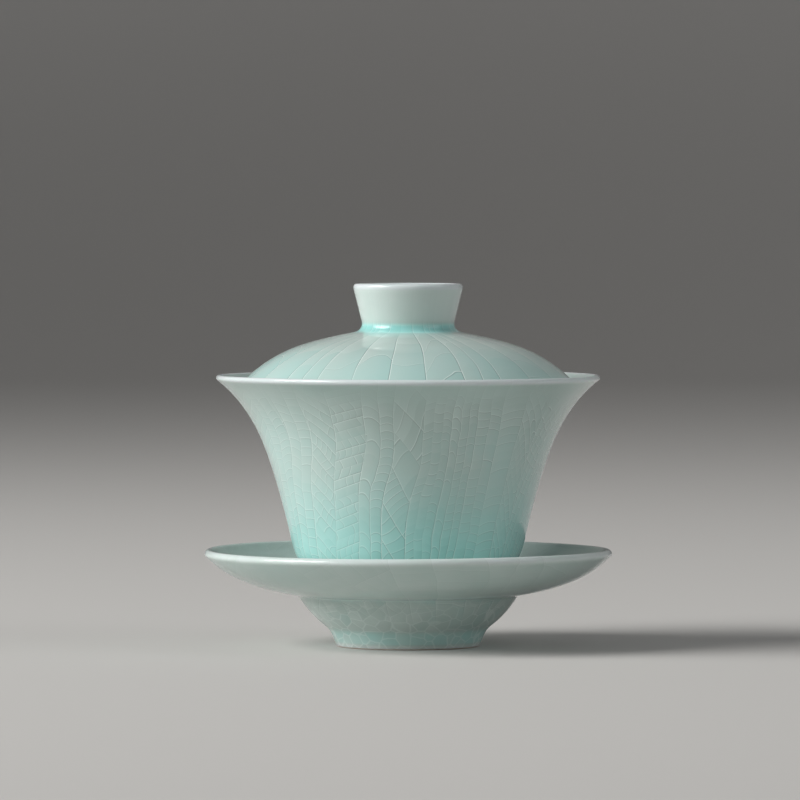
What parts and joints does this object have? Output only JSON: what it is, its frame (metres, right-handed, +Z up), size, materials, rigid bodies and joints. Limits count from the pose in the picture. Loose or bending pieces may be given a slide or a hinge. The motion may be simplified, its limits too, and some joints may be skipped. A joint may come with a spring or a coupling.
{
  "type": "gaiwan",
  "caption": "Lidded porcelain tea bowl with a flared mouth and a ring-knobbed domed lid, standing in the well of a raised saucer, all in crackled celadon glaze.",
  "frame": {"origin": "centre of the ring that the saucer stands on, at the level of the table", "axes": "+Z up along the turning axis that the saucer, the bowl and the lid share; the pieces are round, so +X and +Y are free"},
  "size_m": [0.1058, 0.1058, 0.0943],
  "materials": {
    "celadon_glaze": "glossy crackle glaze"
  },
  "bodies": {
    "saucer": {"saucer": "celadon_glaze"},
    "bowl": {"bowl": "celadon_glaze"},
    "lid": {"lid": "celadon_glaze"}
  },
  "joints": [
    {"name": "bowl_lift", "type": "slide", "parent": "saucer", "child": "bowl", "axis": [0, 0, 1], "range_m": [0, 0.04]},
    {"name": "lid_lift", "type": "slide", "parent": "bowl", "child": "lid", "axis": [0, 0, 1], "range_m": [0, 0.07]}
  ]
}
